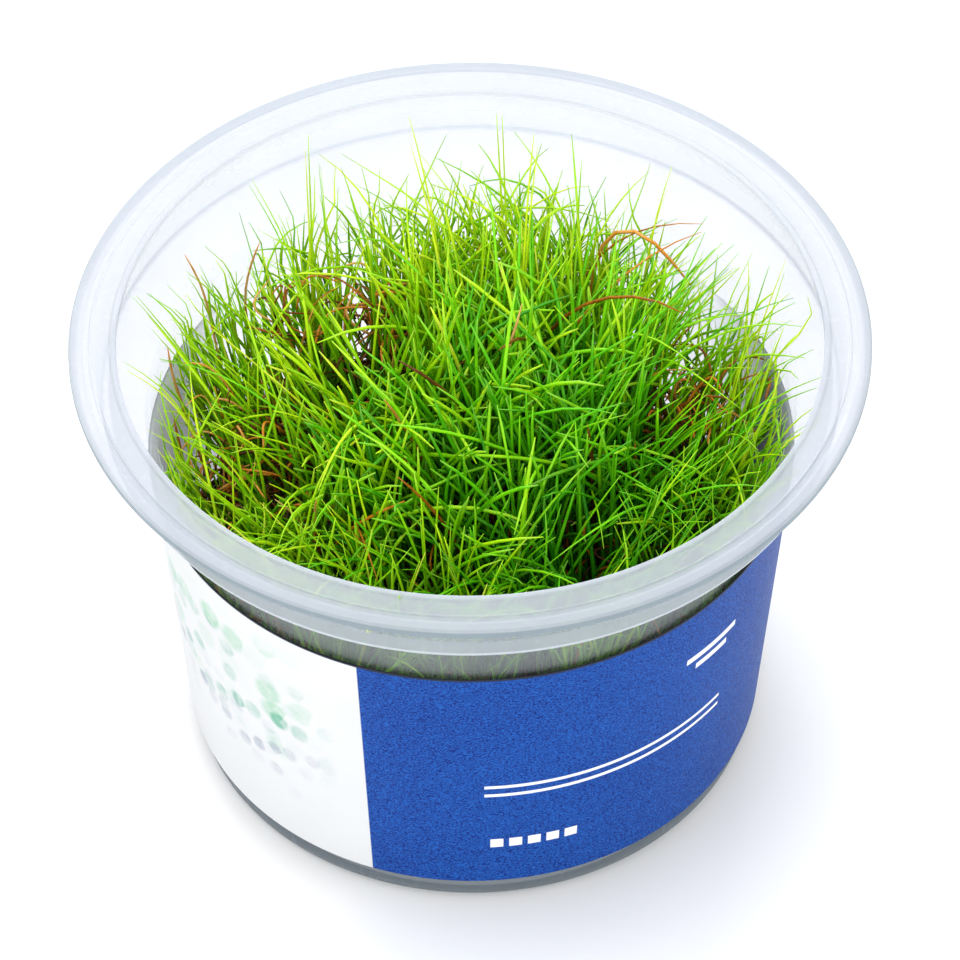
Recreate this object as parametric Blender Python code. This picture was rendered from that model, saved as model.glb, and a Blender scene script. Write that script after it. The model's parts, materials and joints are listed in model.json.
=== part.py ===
"""Dwarf hairgrass growing in its open plastic cup.

A moulded cup with a wide flange and a stepped shoulder holds a layer of growing gel.
A mat of roots and old stems lies on the gel, and tufts of grass stand close together on it.
One printed label wraps round the tapered wall, and its ends nearly meet at the back.

Lengths are in metres and +Z is up. The origin is the middle of the ring that the cup stands on,
and the front of the cup faces -Y.
"""

import math
import random
from dataclasses import dataclass, field

import bmesh
import bpy
import numpy as np
from mathutils import Vector
from mathutils.bvhtree import BVHTree

MM = 0.001

# Driving sizes of the cup
CUP_HEIGHT = 66.0 * MM
FLANGE_RADIUS = 50.0 * MM
MOUTH_RADIUS = 44.5 * MM
LIP_DROP = 1.6 * MM
PLATE = 0.9 * MM
WALL = 0.9 * MM
SKIRT_TOP_RADIUS = 46.9 * MM
SKIRT_FOOT_RADIUS = 46.3 * MM
SKIRT_DROP = 8.4 * MM
SHOULDER_DROP = 11.8 * MM
BODY_TOP_RADIUS = 41.0 * MM
BODY_FOOT_RADIUS = 36.8 * MM
FOOT_CORNER = 1.6 * MM
FOOT_RECESS = 0.7 * MM
FOOT_RING_WIDTH = 2.4 * MM
BEAD_HEIGHT = 0.3 * MM
BEAD_WIDTH = 0.7 * MM
RIM_WIDTH = 1.6 * MM
SIDES = 40

# The fine gap that pieces keep where they touch
GAP = 0.3 * MM

# Driving sizes of the label
LABEL_FOOT = 4.4 * MM
LABEL_TOP = 47.0 * MM
LABEL_THICKNESS = 0.25 * MM
LABEL_SEAM_SIDES = 1

# Driving sizes of the gel and the root mat
GEL_TOP = 20.0 * MM
MAT_EDGE_TOP = 24.0 * MM
MAT_DOME = 5.0 * MM
MAT_LUMP = 1.0 * MM
MAT_RINGS = 5
MAT_SIDES = 20

# Driving sizes of the grass
TUFT_COUNT = 48
BLADES_PER_TUFT = 7
FIELD_RADIUS = 33.2 * MM
CROWN_RADIUS = 2.7 * MM
CROWN_HEIGHT = 1.8 * MM
STEM_RISE = 7.0 * MM
STEM_SPREAD = 2.9 * MM
BLADE_RADII = (0.85 * MM, 0.85 * MM, 0.65 * MM)
LEAN_RANGE = (0.02, 0.43)
ARCH_RANGE = (0.0, 0.9)
ARCH_RISE = 0.4
SECTION_SHARES = (0.38, 0.72)
SWING = 1.1
TIP_TOP_MIDDLE = 65.0 * MM
TIP_TOP_EDGE = 59.0 * MM
TIP_VARIATION = 5.0 * MM
BLADE_CLEARANCE = 0.35 * MM
DOME_MIDDLE = Vector((8.0 * MM, -8.0 * MM))
SEED = 27
TRIES_PER_BLADE = 240

# Tips of the longest blades in millimetres, which stand out above the rest in the photo
LONG_TIPS = (
    (-7.5, 33.0, 72.0),
    (4.4, 32.0, 73.0),
    (8.4, 29.5, 72.0),
    (-20.4, 32.0, 70.0),
    (14.5, 28.0, 69.0),
    (26.0, 27.5, 68.0),
    (33.5, 21.5, 67.0),
    (40.0, 13.5, 65.0),
    (41.6, -13.0, 62.5),
    (-43.2, -1.5, 63.0),
    (-42.4, 9.0, 64.0),
    (-28.0, 27.0, 66.0),
)
# How far out a long blade's root is, as a share of its tip's distance from the axis
LONG_TIP_ROOT = 0.72

# The photo's colours
COLOURS = {
    "cup_plastic": (0.80, 0.83, 0.88, 0.45),
    "label_print": (0.03, 0.10, 0.36, 1.0),
    "growing_gel": (0.62, 0.66, 0.62, 1.0),
    "old_roots": (0.23, 0.12, 0.05, 1.0),
    "grass_bright": (0.26, 0.50, 0.03, 1.0),
    "grass_deep": (0.11, 0.36, 0.02, 1.0),
}
ROUGHNESS = {
    "cup_plastic": 0.35,
    "label_print": 0.45,
    "growing_gel": 0.3,
    "old_roots": 0.9,
    "grass_bright": 0.5,
    "grass_deep": 0.5,
}


@dataclass
class Blade:
    """One blade: the middles of its sections from the crown to the tip, and their radii."""

    points: list
    radii: list


@dataclass
class Crown:
    """One tuft's crown: its place on the mat, and the foot and outward way of each blade."""

    spot: Vector
    floor: float
    turn: float
    feet: list
    blades: dict = field(default_factory=dict)


def clear_scene():
    """Remove every object, so that the script starts from nothing."""
    for item in list(bpy.data.objects):
        bpy.data.objects.remove(item, do_unlink=True)


def make_material(name):
    """Return a plain Principled material with the named colour and roughness."""
    material = bpy.data.materials.new(name)
    material.use_nodes = True
    shader = material.node_tree.nodes["Principled BSDF"]
    shader.inputs["Base Color"].default_value = COLOURS[name]
    shader.inputs["Roughness"].default_value = ROUGHNESS[name]
    shader.inputs["Metallic"].default_value = 0.0
    shader.inputs["Alpha"].default_value = COLOURS[name][3]
    return material


def add_object(name, shape, material, sharp_angle=math.radians(35)):
    """Turn a bmesh into a named object with its material, shaded smooth up to the sharp angle."""
    bmesh.ops.recalc_face_normals(shape, faces=shape.faces)
    mesh = bpy.data.meshes.new(name)
    shape.to_mesh(mesh)
    shape.free()
    mesh.shade_smooth()
    mesh.set_sharp_from_angle(angle=sharp_angle)
    mesh.materials.append(material)
    item = bpy.data.objects.new(name, mesh)
    bpy.context.scene.collection.objects.link(item)
    return item


def arc(middle, radius, start, end, count):
    """Return points along an arc in the (radius, height) plane, from start to end in degrees."""
    angles = [math.radians(start + (end - start) * n / (count - 1)) for n in range(count)]
    return [(middle[0] + radius * math.cos(a), middle[1] + radius * math.sin(a)) for a in angles]


def between(low, high, height):
    """Return the radius at a height on the straight line between two (radius, height) points."""
    share = (height - low[1]) / (high[1] - low[1])
    return low[0] + (high[0] - low[0]) * share


def outer_wall_radius(height):
    """Return the outer radius of the tapered wall at a height."""
    foot = (BODY_FOOT_RADIUS, FOOT_CORNER)
    top = (BODY_TOP_RADIUS, CUP_HEIGHT - SHOULDER_DROP)
    return between(foot, top, height)


def outside_line():
    """Return the cup's outer outline, from the middle of the foot up to the top of the lip."""
    corner = (BODY_FOOT_RADIUS - FOOT_CORNER, FOOT_CORNER)
    ring_inner = corner[0] - FOOT_RING_WIDTH
    underside = CUP_HEIGHT - PLATE
    lip_inner = FLANGE_RADIUS - PLATE
    return [
        (0.0, FOOT_RECESS),
        (ring_inner - FOOT_RECESS, FOOT_RECESS),
        (ring_inner, 0.0),
        *arc(corner, FOOT_CORNER, -90, 0, 4),
        (BODY_TOP_RADIUS, CUP_HEIGHT - SHOULDER_DROP),
        (SKIRT_FOOT_RADIUS, CUP_HEIGHT - SKIRT_DROP),
        (SKIRT_TOP_RADIUS, underside),
        (lip_inner, underside),
        (lip_inner, CUP_HEIGHT - LIP_DROP),
        (FLANGE_RADIUS, CUP_HEIGHT - LIP_DROP),
        (FLANGE_RADIUS, CUP_HEIGHT - BEAD_HEIGHT),
        (FLANGE_RADIUS - BEAD_HEIGHT, CUP_HEIGHT),
    ]


def inside_line():
    """Return the cup's inner outline, from the inner edge of the flange's rim down to the floor."""
    top_face = CUP_HEIGHT - BEAD_HEIGHT
    floor = FOOT_RECESS + WALL
    return [
        (FLANGE_RADIUS - RIM_WIDTH, CUP_HEIGHT),
        (FLANGE_RADIUS - RIM_WIDTH - BEAD_HEIGHT, top_face),
        (MOUTH_RADIUS + BEAD_WIDTH, top_face),
        (MOUTH_RADIUS + BEAD_WIDTH - BEAD_HEIGHT, CUP_HEIGHT),
        *inner_wall(),
        (0.0, floor),
    ]


def inner_wall():
    """Return the inner outline from the mouth down to the edge of the floor."""
    floor = FOOT_RECESS + WALL
    return [
        (MOUTH_RADIUS, CUP_HEIGHT),
        (MOUTH_RADIUS, CUP_HEIGHT - PLATE),
        (SKIRT_FOOT_RADIUS - WALL, CUP_HEIGHT - SKIRT_DROP + WALL / 2),
        (BODY_TOP_RADIUS - WALL, CUP_HEIGHT - SHOULDER_DROP + WALL / 2),
        (BODY_FOOT_RADIUS - WALL, floor + FOOT_CORNER / 2),
        (BODY_FOOT_RADIUS - WALL - FOOT_CORNER / 2, floor),
    ]


def inner_radius(height):
    """Return how far the cup is open at a height, or at each of an array of heights."""
    radii, heights = zip(*reversed(inner_wall()))
    return np.interp(height, heights, radii)


def turned(outline, sides=SIDES):
    """Turn an outline that starts and ends on the axis into a closed round solid."""
    shape = bmesh.new()
    corners = [shape.verts.new((radius, 0.0, height)) for radius, height in outline]
    edges = [shape.edges.new(pair) for pair in zip(corners, corners[1:])]
    bmesh.ops.spin(
        shape,
        geom=corners + edges,
        cent=(0.0, 0.0, 0.0),
        axis=(0.0, 0.0, 1.0),
        angle=2 * math.pi,
        steps=sides,
        use_merge=True,
    )
    bmesh.ops.remove_doubles(shape, verts=shape.verts, dist=GAP / 100)
    return shape


def build_cup(material):
    """Build the moulded cup, from its foot to the lip of its flange."""
    return add_object("cup", turned(outside_line() + inside_line()), material)


def build_label(material):
    """Build the label as one thin sheet wrapped round the wall, with a narrow gap at the back."""
    shape = bmesh.new()
    foot = outer_wall_radius(LABEL_FOOT) + GAP
    top = outer_wall_radius(LABEL_TOP) + GAP
    section = [
        (foot, LABEL_FOOT),
        (foot + LABEL_THICKNESS, LABEL_FOOT),
        (top + LABEL_THICKNESS, LABEL_TOP),
        (top, LABEL_TOP),
    ]
    step = 2 * math.pi / SIDES
    start = math.pi / 2 + step * LABEL_SEAM_SIDES / 2
    sides = SIDES - LABEL_SEAM_SIDES
    corners = [
        shape.verts.new((radius * math.cos(start), radius * math.sin(start), height))
        for radius, height in section
    ]
    face = shape.faces.new(corners)
    bmesh.ops.spin(
        shape,
        geom=[face],
        cent=(0.0, 0.0, 0.0),
        axis=(0.0, 0.0, 1.0),
        angle=step * sides,
        steps=sides,
    )
    return add_object("label", shape, material)


def build_gel(material):
    """Build the layer of growing gel in the bottom of the cup."""
    bottom = FOOT_RECESS + WALL + GAP
    chamfer = FOOT_CORNER / 2
    outline = [
        (0.0, bottom),
        (inner_radius(bottom + chamfer) - chamfer - GAP, bottom),
        (inner_radius(bottom + chamfer) - GAP, bottom + chamfer),
        (inner_radius(GEL_TOP) - GAP, GEL_TOP),
        (0.0, GEL_TOP),
    ]
    return add_object("gel", turned(outline), material)


def mat_outline():
    """Return the root mat's outline: flat below, with a straight edge and a domed top."""
    bottom = GEL_TOP + GAP
    edge = inner_radius(bottom) - 2 * GAP
    outline = [(0.0, bottom), (edge, bottom), (edge, MAT_EDGE_TOP)]
    for ring in range(1, MAT_RINGS + 1):
        share = 1 - ring / MAT_RINGS
        rise = MAT_DOME * (1 - share**2)
        outline.append((edge * share, MAT_EDGE_TOP + rise))
    return outline


def build_root_mat(material, chance):
    """Build the root mat with a lumpy top, and return it with a tree that finds its surface."""
    shape = turned(mat_outline(), MAT_SIDES)
    for corner in shape.verts:
        if corner.co.z > MAT_EDGE_TOP + GAP:
            corner.co.z += chance.uniform(-MAT_LUMP, MAT_LUMP)
    surface = BVHTree.FromBMesh(shape)
    return add_object("root_mat", shape, material), surface


def crown_spots(chance):
    """Return the middles of the crowns, spread evenly over the mat with a little jitter."""
    turn = math.pi * (3 - math.sqrt(5))
    spots = []
    for count in range(TUFT_COUNT):
        radius = FIELD_RADIUS * math.sqrt((count + 0.5) / TUFT_COUNT)
        angle = count * turn + chance.uniform(-0.05, 0.05)
        spots.append(Vector((radius * math.cos(angle), radius * math.sin(angle))))
    return spots


def crown_floor(spot, surface):
    """Return the height at which a flat crown clears the mat's lumps below it."""
    heights = []
    for share in np.linspace(0.0, 1.0, 6):
        for angle in np.linspace(0.0, 2 * math.pi, 24, endpoint=False):
            x = spot.x + CROWN_RADIUS * share * math.cos(angle)
            y = spot.y + CROWN_RADIUS * share * math.sin(angle)
            hit = surface.ray_cast(Vector((x, y, CUP_HEIGHT)), Vector((0.0, 0.0, -1.0)))
            heights.append(hit[0].z)
    return max(heights) + GAP


def make_crown(crown):
    """Make the low pointed crown of a tuft, and return it with its sloping faces."""
    shape = bmesh.new()
    step = 2 * math.pi / BLADES_PER_TUFT
    base = Vector((crown.spot.x, crown.spot.y, crown.floor))
    rim = []
    for side in range(BLADES_PER_TUFT):
        angle = crown.turn + step * side
        offset = Vector((math.cos(angle), math.sin(angle), 0.0)) * CROWN_RADIUS
        rim.append(shape.verts.new(base + offset))
    top = shape.verts.new(base + Vector((0.0, 0.0, CROWN_HEIGHT)))
    shape.faces.new(list(reversed(rim)))
    slopes = [shape.faces.new((rim[n - 1], rim[n], top)) for n in range(BLADES_PER_TUFT)]
    return shape, slopes


def curve_point(ends, share):
    """Return the point at a share of the way along a quadratic curve through three guides."""
    start, guide, tip = ends
    return start * (1 - share) ** 2 + guide * 2 * share * (1 - share) + tip * share**2


def tip_height(x, y, chance):
    """Return a height for a blade's tip: highest over the dome's middle, lower at the wall."""
    reach = min(1.0, (Vector((x, y)) - DOME_MIDDLE).length / MOUTH_RADIUS)
    level = TIP_TOP_MIDDLE + (TIP_TOP_EDGE - TIP_TOP_MIDDLE) * reach**2
    return level + chance.uniform(-TIP_VARIATION, TIP_VARIATION / 2)


def random_tip(spot, outward, chance):
    """Return a tip for a blade that leans roughly outward from its tuft."""
    swing = chance.gauss(0.0, SWING)
    side = Vector((-outward.y, outward.x))
    way = outward * math.cos(swing) + side * math.sin(swing)
    stem = spot + outward * STEM_SPREAD
    place = stem + way * (CUP_HEIGHT - MAT_EDGE_TOP) * chance.uniform(*LEAN_RANGE)
    height = tip_height(place.x, place.y, chance)
    place.length = min(place.length, inner_radius(height) - 2 * BLADE_CLEARANCE)
    return Vector((place.x, place.y, height))


def stem_top(foot, outward, spot):
    """Return where a blade's lowest stretch ends, just above its crown."""
    top = Vector((spot.x, spot.y, foot.z)) + outward.to_3d() * STEM_SPREAD
    top.z += STEM_RISE
    return top


def blade_between(foot, stem, tip, arch):
    """Return a blade that rises from its crown's slope and bends over towards its tip."""
    guide = stem.lerp(tip, 0.5 * (1 - arch))
    guide.z = stem.z + (tip.z - stem.z) * (0.5 + ARCH_RISE * arch)
    ends = (stem, guide, tip)
    middle = [curve_point(ends, share) for share in SECTION_SHARES]
    return Blade([foot, stem, *middle, tip], [BLADE_RADII[0], *BLADE_RADII, 0.0])


def sampled(blade, first=0):
    """Return rows of x, y, z and radius spaced closely along a blade, from a section on."""
    rows = np.array([(*point, radius) for point, radius in zip(blade.points, blade.radii)])[first:]
    steps = np.linspace(0, len(rows) - 1, 6 * (len(rows) - 1) + 1)
    return np.stack([np.interp(steps, range(len(rows)), column) for column in rows.T], axis=1)


def inside_cup(rows):
    """Return whether the rows of a blade stay clear of the cup's inner wall."""
    reach = np.hypot(rows[:, 0], rows[:, 1]) + rows[:, 3] + BLADE_CLEARANCE
    return bool(np.all(reach < inner_radius(rows[:, 2] - rows[:, 3])))


def too_near(rows, others):
    """Return whether the rows of a blade come too near to those of other blades."""
    if not len(others):
        return False
    margin = 2 * BLADE_RADII[0] + BLADE_CLEARANCE
    low = rows[:, :3].min(axis=0) - margin
    high = rows[:, :3].max(axis=0) + margin
    close = others[np.all((others[:, :3] > low) & (others[:, :3] < high), axis=1)]
    apart = np.linalg.norm(rows[:, None, :3] - close[None, :, :3], axis=2)
    room = rows[:, None, 3] + close[None, :, 3] + BLADE_CLEARANCE
    return bool(np.any(apart < room))


def find_blade(crown, side, crowd, siblings, wanted, chance):
    """Return a blade that clears every other one, or nothing when none of the tries does."""
    foot, outward = crown.feet[side]
    stem = stem_top(foot, outward, crown.spot)
    for attempt in range(TRIES_PER_BLADE):
        use_wanted = wanted and attempt < TRIES_PER_BLADE / 3
        tip = wanted if use_wanted else random_tip(crown.spot, outward, chance)
        blade = blade_between(foot, stem, tip, chance.uniform(*ARCH_RANGE))
        whole = sampled(blade)
        if not inside_cup(whole) or too_near(whole, crowd):
            continue
        if not too_near(sampled(blade, 1), siblings):
            return blade
    return None


def grow(shape, face, blade):
    """Grow a blade out of a crown's sloping face by extruding it along the blade's sections."""
    for n in range(1, len(blade.points)):
        middle = blade.points[n]
        along = (blade.points[min(n + 1, len(blade.points) - 1)] - blade.points[n - 1]).normalized()
        face = bmesh.ops.extrude_discrete_faces(shape, faces=[face])["faces"][0]
        if n == len(blade.points) - 1:
            bmesh.ops.pointmerge(shape, verts=list(face.verts), merge_co=middle)
            return
        old_middle = face.calc_center_median()
        first = face.verts[0].co - old_middle
        across = (first - along * first.dot(along)).normalized()
        beside = along.cross(across)
        count = len(face.verts)
        turn_sign = 1 if face.normal.dot(along) > 0 else -1
        for k, corner in enumerate(list(face.verts)):
            angle = turn_sign * 2 * math.pi * k / count
            reach = across * math.cos(angle) + beside * math.sin(angle)
            corner.co = middle + reach * blade.radii[n]
        face.normal_update()


def nearest_crown(tip, spots):
    """Return the index of the crown that a long blade leans out from."""
    place = Vector((tip.x, tip.y)) * LONG_TIP_ROOT
    return min(range(len(spots)), key=lambda n: (spots[n] - place).length)


def long_tips_by_crown(spots):
    """Return each crown's long tip, for the crowns that have one."""
    chosen = {}
    for numbers in LONG_TIPS:
        tip = Vector(numbers) * MM
        free = [n for n in range(len(spots)) if n not in chosen]
        nearest = nearest_crown(tip, [spots[n] for n in free])
        chosen[free[nearest]] = tip
    return chosen


def crown_feet(spot, floor, turn):
    """Return, for each sloping face of a crown, the middle of the face and its outward way."""
    step = 2 * math.pi / BLADES_PER_TUFT
    feet = []
    for side in range(BLADES_PER_TUFT):
        angle = turn + step * (side - 0.5)
        outward = Vector((math.cos(angle), math.sin(angle)))
        inset = CROWN_RADIUS * math.cos(step / 2) * 2 / 3
        foot = Vector((spot.x, spot.y, floor + CROWN_HEIGHT / 3)) + outward.to_3d() * inset
        feet.append((foot, outward))
    return feet


def best_side(crown, tip):
    """Return the side of a crown that faces a long tip."""
    way = Vector((tip.x, tip.y)) - crown.spot
    return max(range(BLADES_PER_TUFT), key=lambda side: crown.feet[side][1].dot(way))


def plan_crowns(surface, chance):
    """Return every crown: where it stands, how it is turned and where its blades begin."""
    crowns = []
    for spot in crown_spots(chance):
        floor = crown_floor(spot, surface)
        turn = chance.uniform(0.0, 2 * math.pi / BLADES_PER_TUFT)
        crowns.append(Crown(spot, floor, turn, crown_feet(spot, floor, turn)))
    return crowns


def without(items, n):
    """Return a list's items without the one at an index."""
    return items[:n] + items[n + 1 :]


def stem_rows(crown):
    """Return the sampled rows of all the lowest stretches of a crown's blades."""
    rows = []
    for foot, outward in crown.feet:
        stem = stem_top(foot, outward, crown.spot)
        rows.append(sampled(Blade([foot, stem], [BLADE_RADII[0]] * 2)))
    return np.vstack(rows)


def plan_blades(crowns, chance):
    """Give every crown its blades, the long ones first, with no blade touching another."""
    long_tips = {
        (n, best_side(crowns[n], tip)): tip
        for n, tip in long_tips_by_crown([crown.spot for crown in crowns]).items()
    }
    stems = [stem_rows(crown) for crown in crowns]
    grown = [np.empty((0, 4)) for _ in crowns]
    places = [(n, side) for n in range(len(crowns)) for side in range(BLADES_PER_TUFT)]
    for n, side in sorted(places, key=lambda place: place not in long_tips):
        others = [rows for rows_of_all in (stems, grown) for rows in without(rows_of_all, n)]
        wanted = long_tips.get((n, side))
        blade = find_blade(crowns[n], side, np.vstack(others), grown[n], wanted, chance)
        if blade:
            crowns[n].blades[side] = blade
            grown[n] = np.vstack([grown[n], sampled(blade, 1)])


def build_tufts(surface, bright, deep, chance):
    """Build every tuft of grass as one solid: its crown with the blades that grow from it."""
    crowns = plan_crowns(surface, chance)
    plan_blades(crowns, chance)
    for count, crown in enumerate(crowns, start=1):
        shape, slopes = make_crown(crown)
        for side, blade in crown.blades.items():
            grow(shape, slopes[side], blade)
        near_middle = (crown.spot - DOME_MIDDLE).length < FIELD_RADIUS / 2
        add_object(f"tuft_{count:02d}", shape, deep if near_middle else bright)


def main():
    """Build the whole object, from the cup inward."""
    clear_scene()
    materials = {name: make_material(name) for name in COLOURS}
    chance = random.Random(SEED)
    build_cup(materials["cup_plastic"])
    build_label(materials["label_print"])
    build_gel(materials["growing_gel"])
    _, surface = build_root_mat(materials["old_roots"], chance)
    build_tufts(surface, materials["grass_bright"], materials["grass_deep"], chance)


if __name__ == "__main__":
    main()
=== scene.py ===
"""Dwarf hairgrass in its growing cup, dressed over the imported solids.

The solids give every size that matters: the cup's height, the mat that the tufts stand on and the
line of each coarse blade.  This script lays fine blades along those lines, thickens each tuft with
more of its own, and makes the cup, the label, the gel and the root mat as finer pieces.

Lengths are in metres, +Z is up and the front of the cup faces -Y.
"""

import json
import logging
import math
from dataclasses import dataclass, field
from enum import Enum

import bmesh
import bpy
import numpy as np
from mathutils import Matrix, Vector


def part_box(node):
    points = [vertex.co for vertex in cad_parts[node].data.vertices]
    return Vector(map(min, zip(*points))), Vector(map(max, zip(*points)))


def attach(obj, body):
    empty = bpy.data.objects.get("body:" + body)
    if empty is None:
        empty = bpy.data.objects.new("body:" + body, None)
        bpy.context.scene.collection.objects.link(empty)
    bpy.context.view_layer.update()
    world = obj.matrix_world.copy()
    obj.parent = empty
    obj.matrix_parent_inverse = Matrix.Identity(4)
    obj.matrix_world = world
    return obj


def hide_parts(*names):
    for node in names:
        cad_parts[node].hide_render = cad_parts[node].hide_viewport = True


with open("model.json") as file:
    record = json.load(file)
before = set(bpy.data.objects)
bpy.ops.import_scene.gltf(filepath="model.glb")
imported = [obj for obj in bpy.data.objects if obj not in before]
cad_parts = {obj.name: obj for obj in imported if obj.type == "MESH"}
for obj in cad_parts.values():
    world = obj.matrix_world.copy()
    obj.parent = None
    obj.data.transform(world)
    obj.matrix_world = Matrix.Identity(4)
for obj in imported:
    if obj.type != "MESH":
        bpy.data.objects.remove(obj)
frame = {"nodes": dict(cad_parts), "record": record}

LOG = logging.getLogger("hairgrass")
MM = 0.001
BODY = "root"

Colour = tuple[float, float, float]
Corner = tuple[float, float]


# Node sheets


class NodeSheet:
    """A material's node tree, with short ways to add and join the nodes that the finishes share."""

    def __init__(self, name: str) -> None:
        """Start an empty material.

        Args:
            name: the material's name.
        """
        self.material = bpy.data.materials.new(name)
        self.material.use_nodes = True
        self.tree = self.material.node_tree
        self.tree.nodes.clear()
        self.output = self.tree.nodes.new("ShaderNodeOutputMaterial")
        self._place = None

    def add(self, kind: str, settings: dict | None = None, sockets: dict | None = None) -> bpy.types.Node:
        """Add one node.

        Args:
            kind: the node's type.
            settings: properties of the node and their values.
            sockets: input names or numbers, each with a constant or an output socket to join.

        Returns:
            The new node.
        """
        node = self.tree.nodes.new(kind)
        for key, value in (settings or {}).items():
            setattr(node, key, value)
        for key, value in (sockets or {}).items():
            self.feed(node.inputs[key], value)
        return node

    def feed(self, socket: bpy.types.NodeSocket, value: object) -> None:
        """Join an output to a socket, or set the socket's own constant.

        Args:
            socket: the input socket.
            value: an output socket or a constant.
        """
        if isinstance(value, bpy.types.NodeSocket):
            self.tree.links.new(value, socket)
        elif isinstance(value, tuple) and len(value) == 3 and socket.type == "RGBA":
            socket.default_value = (*value, 1.0)
        else:
            socket.default_value = value

    def place(self) -> bpy.types.NodeSocket:
        """Return the socket of the surface point in metres in the object's own space."""
        if self._place is None:
            self._place = self.add("ShaderNodeTexCoord").outputs["Object"]
        return self._place

    def scaled_place(self, scale: tuple[float, float, float]) -> bpy.types.NodeSocket:
        """Return the surface point with each axis scaled.

        Args:
            scale: the factor for x, y and z.

        Returns:
            The scaled vector's socket.
        """
        mapping = self.add("ShaderNodeMapping", sockets={"Vector": self.place(), "Scale": scale})
        return mapping.outputs["Vector"]

    def noise(self, scale: float, detail: float = 3.0, place: bpy.types.NodeSocket | None = None) -> bpy.types.NodeSocket:
        """Return a cloudy pattern from 0 to 1.

        Args:
            scale: how many lumps there are in a metre.
            detail: how many finer layers are added.
            place: the point to read, or nothing for the surface point.

        Returns:
            The pattern's socket.
        """
        node = self.add(
            "ShaderNodeTexNoise",
            sockets={"Vector": place or self.place(), "Scale": scale, "Detail": detail},
        )
        return node.outputs["Fac"]

    def attribute(self, name: str) -> bpy.types.NodeSocket:
        """Return the number that the mesh holds at each point under a name.

        Args:
            name: the attribute's name.

        Returns:
            The number's socket.
        """
        return self.add("ShaderNodeAttribute", {"attribute_name": name}).outputs["Fac"]

    def maths(self, operation: str, *values: object, clamp: bool = False) -> bpy.types.NodeSocket:
        """Return the result of one sum.

        Args:
            operation: the sum's name, as Blender writes it.
            values: constants or sockets, in order.
            clamp: whether the result is held from 0 to 1.

        Returns:
            The result's socket.
        """
        node = self.add("ShaderNodeMath", {"operation": operation, "use_clamp": clamp})
        for socket, value in zip(node.inputs, values):
            self.feed(socket, value)
        return node.outputs[0]

    def spread(self, value: bpy.types.NodeSocket, start: tuple[float, float], end: tuple[float, float] = (0.0, 1.0)) -> bpy.types.NodeSocket:
        """Stretch a number from one range to another, held at its ends.

        Args:
            value: the number's socket.
            start: the range that it comes from.
            end: the range that it goes to.

        Returns:
            The stretched number's socket.
        """
        node = self.add("ShaderNodeMapRange", {"clamp": True})
        for name, number in zip(("From Min", "From Max", "To Min", "To Max"), (*start, *end)):
            node.inputs[name].default_value = number
        self.feed(node.inputs["Value"], value)
        return node.outputs["Result"]

    def ramp(self, value: bpy.types.NodeSocket, stops: tuple[tuple[float, Colour], ...]) -> bpy.types.NodeSocket:
        """Return a colour that changes along stops.

        Args:
            value: the number that picks the colour.
            stops: the place and colour of each stop, in order.

        Returns:
            The colour's socket.
        """
        node = self.add("ShaderNodeValToRGB", sockets={"Fac": value})
        elements = node.color_ramp.elements
        elements[0].position, elements[0].color = stops[0][0], (*stops[0][1], 1.0)
        elements[1].position, elements[1].color = stops[-1][0], (*stops[-1][1], 1.0)
        for position, colour in stops[1:-1]:
            elements.new(position).color = (*colour, 1.0)
        return node.outputs["Color"]

    def mix(self, share: object, first: object, second: object, way: str = "MIX") -> bpy.types.NodeSocket:
        """Return a mix of two colours.

        Args:
            share: how much of the second shows.
            first: the colour at 0.
            second: the colour at 1.
            way: how they mix, as Blender names it.

        Returns:
            The mixed colour's socket.
        """
        node = self.add("ShaderNodeMix", {"data_type": "RGBA", "blend_type": way})
        self.feed(node.inputs[0], share)
        self.feed(node.inputs[6], first)
        self.feed(node.inputs[7], second)
        return node.outputs[2]

    def bump(self, height: bpy.types.NodeSocket, depth: float, strength: float = 1.0) -> bpy.types.NodeSocket:
        """Return a normal that a height pattern tilts.

        Args:
            height: the pattern, from 0 to 1.
            depth: the relief's real depth in metres.
            strength: how much of it shows.

        Returns:
            The normal's socket.
        """
        node = self.add("ShaderNodeBump", sockets={"Strength": strength, "Distance": depth, "Height": height})
        return node.outputs["Normal"]

    def surface(self, **sockets: object) -> bpy.types.Node:
        """Add the main shader.

        Args:
            sockets: its inputs by name, with underscores for spaces.

        Returns:
            The shader node.
        """
        named = {name.replace("_", " "): value for name, value in sockets.items()}
        return self.add("ShaderNodeBsdfPrincipled", sockets=named)

    def finish(self, shader: bpy.types.Node) -> bpy.types.Material:
        """Join the last shader to the output and return the material.

        Args:
            shader: the node whose first output is the surface.

        Returns:
            The finished material.
        """
        self.tree.links.new(shader.outputs[0], self.output.inputs["Surface"])
        return self.material


# Finishes


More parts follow.
